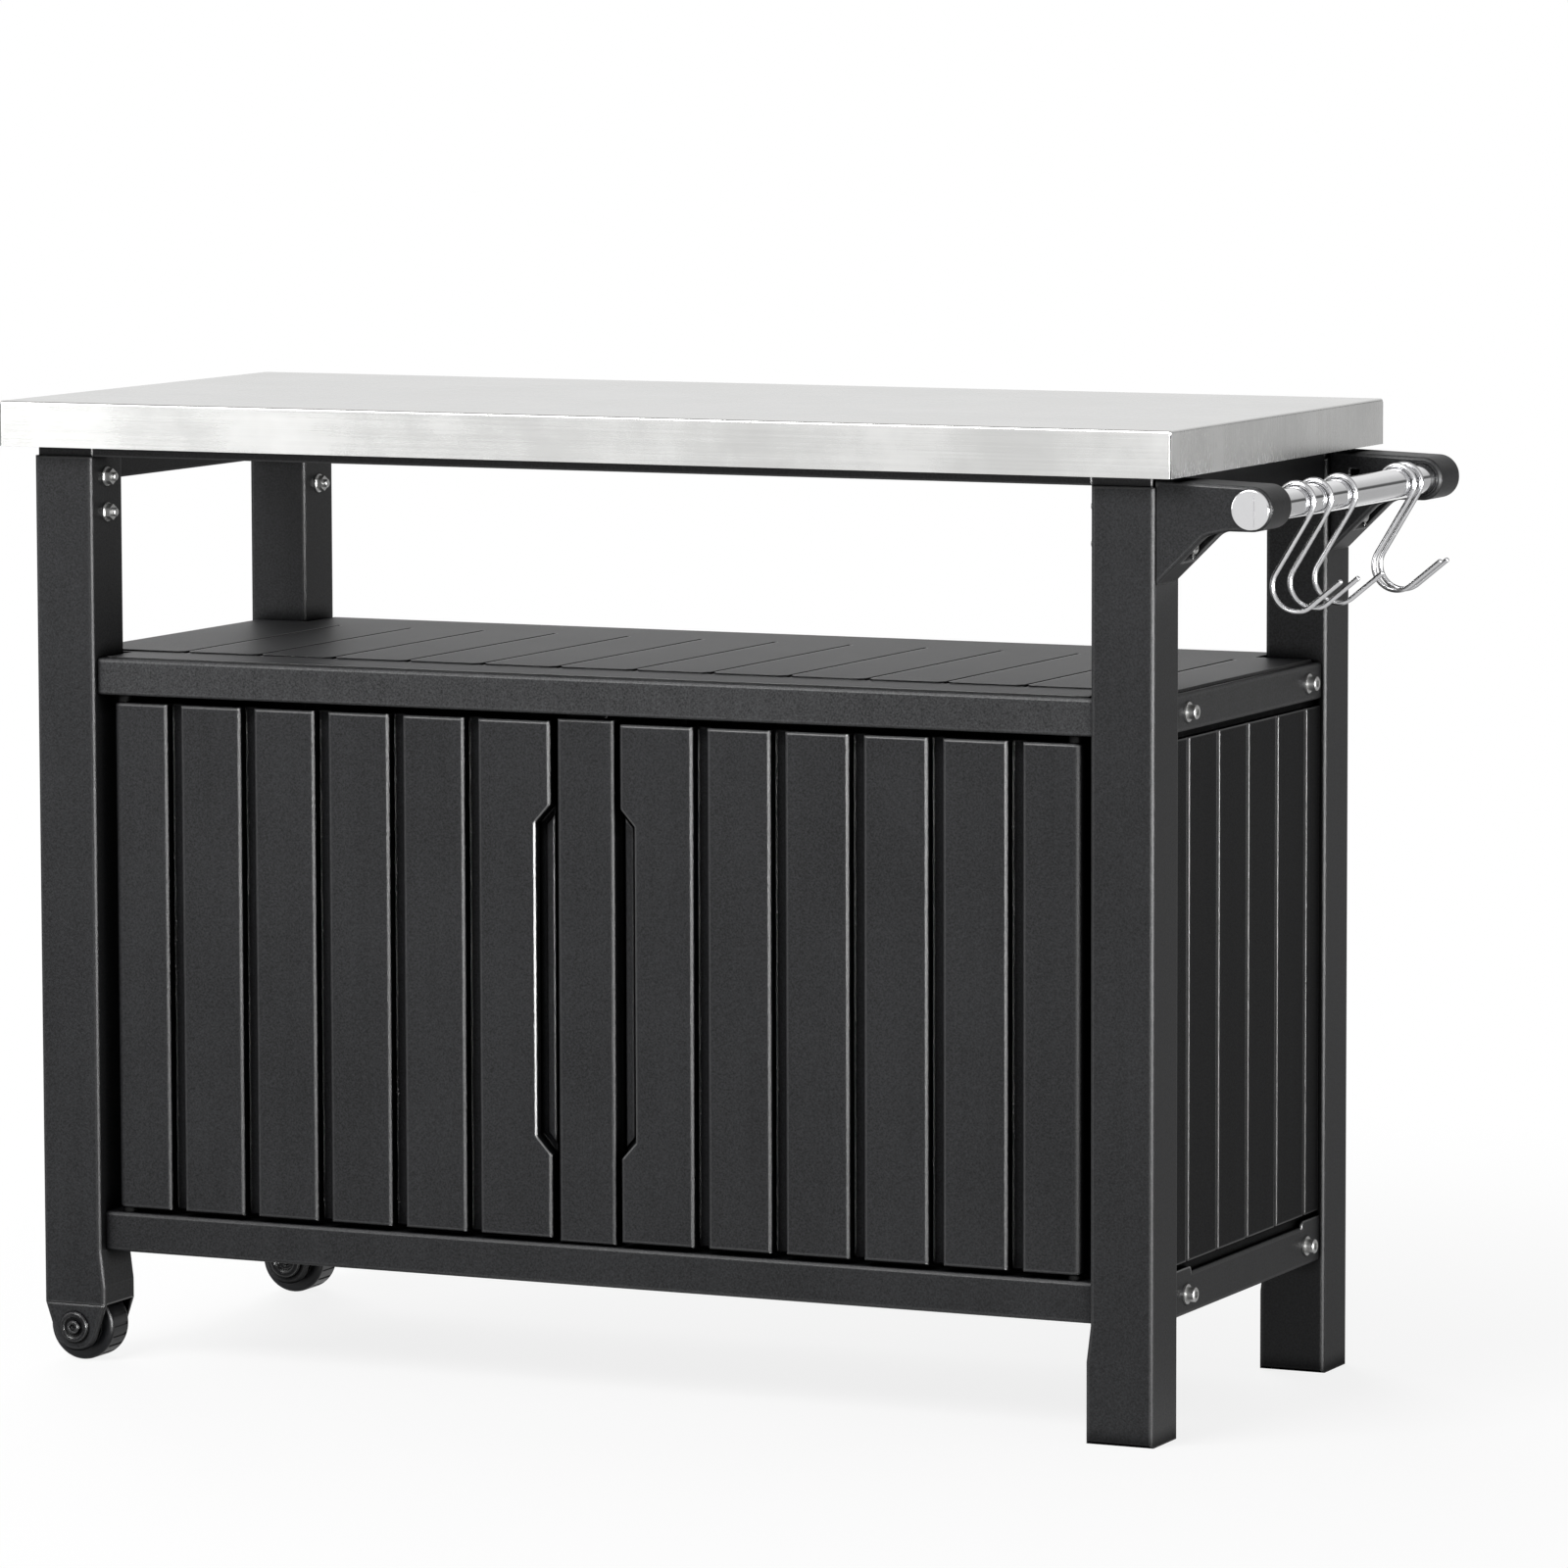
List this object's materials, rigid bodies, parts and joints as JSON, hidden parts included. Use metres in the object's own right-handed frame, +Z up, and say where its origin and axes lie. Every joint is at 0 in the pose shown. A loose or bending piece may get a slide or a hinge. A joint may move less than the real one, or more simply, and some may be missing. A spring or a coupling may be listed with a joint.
{
  "type": "grill cart with storage",
  "caption": "Grill prep cart: steel worktop on moulded legs, open shelf over a planked cabinet with hinged doors, wheels at one end, towel bar with hooks at the other.",
  "frame": {"origin": "on the floor, under the middle of the whole cart's length and depth", "axes": "+Z up, +X along the cart towards the towel bar, -Y towards the doors"},
  "size_m": [1.2786, 0.517, 0.9],
  "materials": {
    "worktop_steel": "brushed",
    "dark_resin": "fine grain, satin",
    "bush_resin": "smooth",
    "zinc_steel": "zinc plated",
    "bar_chrome": "polished",
    "hook_chrome": "polished",
    "wheel_rubber": "matt",
    "hub_resin": "satin"
  },
  "bodies": {
    "cart": {"axle_nuts": "hub_resin", "back_arm": "dark_resin", "back_axle_bolt": "hub_resin", "back_axle_cap": "hub_resin", "back_bar_plug": "bar_chrome", "back_left_corner": "dark_resin", "back_left_leg": "dark_resin", "back_panel": "dark_resin", "back_right_corner": "dark_resin", "back_right_leg": "dark_resin", "base_deck": "dark_resin", "centre_post": "dark_resin", "deck_bolts": "zinc_steel", "deck_washers": "zinc_steel", "front_arm": "dark_resin", "front_axle_bolt": "hub_resin", "front_axle_cap": "hub_resin", "front_bar_plug": "bar_chrome", "front_left_corner": "dark_resin", "front_left_leg": "dark_resin", "front_right_corner": "dark_resin", "front_right_leg": "dark_resin", "handle_bar": "bar_chrome", "hinge_bushes": "bush_resin", "left_door_catch": "dark_resin", "left_side_panel": "dark_resin", "leg_bolts": "zinc_steel", "leg_nuts": "zinc_steel", "right_door_catch": "dark_resin", "right_side_panel": "dark_resin", "shelf_deck": "dark_resin", "steel_top": "worktop_steel", "top_back_rail": "dark_resin", "top_front_rail": "dark_resin", "top_left_batten": "dark_resin", "top_left_rail": "dark_resin", "top_middle_batten": "dark_resin", "top_right_batten": "dark_resin", "top_right_rail": "dark_resin"},
    "left_door": {"left_door": "dark_resin", "left_hinge_pins": "zinc_steel", "left_door_strike": "zinc_steel"},
    "right_door": {"right_door": "dark_resin", "right_hinge_pins": "zinc_steel", "right_door_strike": "zinc_steel"},
    "front_wheel": {"front_wheel_tyre": "wheel_rubber", "front_wheel_hub": "hub_resin"},
    "back_wheel": {"back_wheel_tyre": "wheel_rubber", "back_wheel_hub": "hub_resin"},
    "hook_1": {"hook_1": "hook_chrome"},
    "hook_2": {"hook_2": "hook_chrome"},
    "hook_3": {"hook_3": "hook_chrome"},
    "hook_4": {"hook_4": "hook_chrome"},
    "hook_5": {"hook_5": "hook_chrome"}
  },
  "joints": [
    {"name": "left_door_hinge", "type": "hinge", "parent": "cart", "child": "left_door", "pos_m": [-0.53276, -0.216, 0.384], "axis": [0, 0, 1], "range_deg": [-105, 0]},
    {"name": "right_door_hinge", "type": "hinge", "parent": "cart", "child": "right_door", "pos_m": [0.42424, -0.216, 0.384], "axis": [0, 0, 1], "range_deg": [0, 105]},
    {"name": "front_wheel_spin", "type": "hinge", "parent": "cart", "child": "front_wheel", "pos_m": [-0.58276, -0.208, 0.033], "axis": [0, 1, 0], "continuous": true},
    {"name": "back_wheel_spin", "type": "hinge", "parent": "cart", "child": "back_wheel", "pos_m": [-0.58276, 0.208, 0.033], "axis": [0, 1, 0], "continuous": true},
    {"name": "hook_1_swing", "type": "hinge", "parent": "cart", "child": "hook_1", "pos_m": [0.59564, -0.1261, 0.8316], "axis": [0, 1, 0], "range_deg": [-60, 30]},
    {"name": "hook_2_swing", "type": "hinge", "parent": "cart", "child": "hook_2", "pos_m": [0.59564, -0.0835, 0.8316], "axis": [0, 1, 0], "range_deg": [-60, 30]},
    {"name": "hook_3_swing", "type": "hinge", "parent": "cart", "child": "hook_3", "pos_m": [0.59564, -0.0235, 0.8316], "axis": [0, 1, 0], "range_deg": [-60, 30]},
    {"name": "hook_4_swing", "type": "hinge", "parent": "cart", "child": "hook_4", "pos_m": [0.59564, 0.124, 0.8316], "axis": [0, 1, 0], "range_deg": [-60, 30]},
    {"name": "hook_5_swing", "type": "hinge", "parent": "cart", "child": "hook_5", "pos_m": [0.59564, 0.1416, 0.8316], "axis": [0, 1, 0], "range_deg": [-60, 30]}
  ]
}
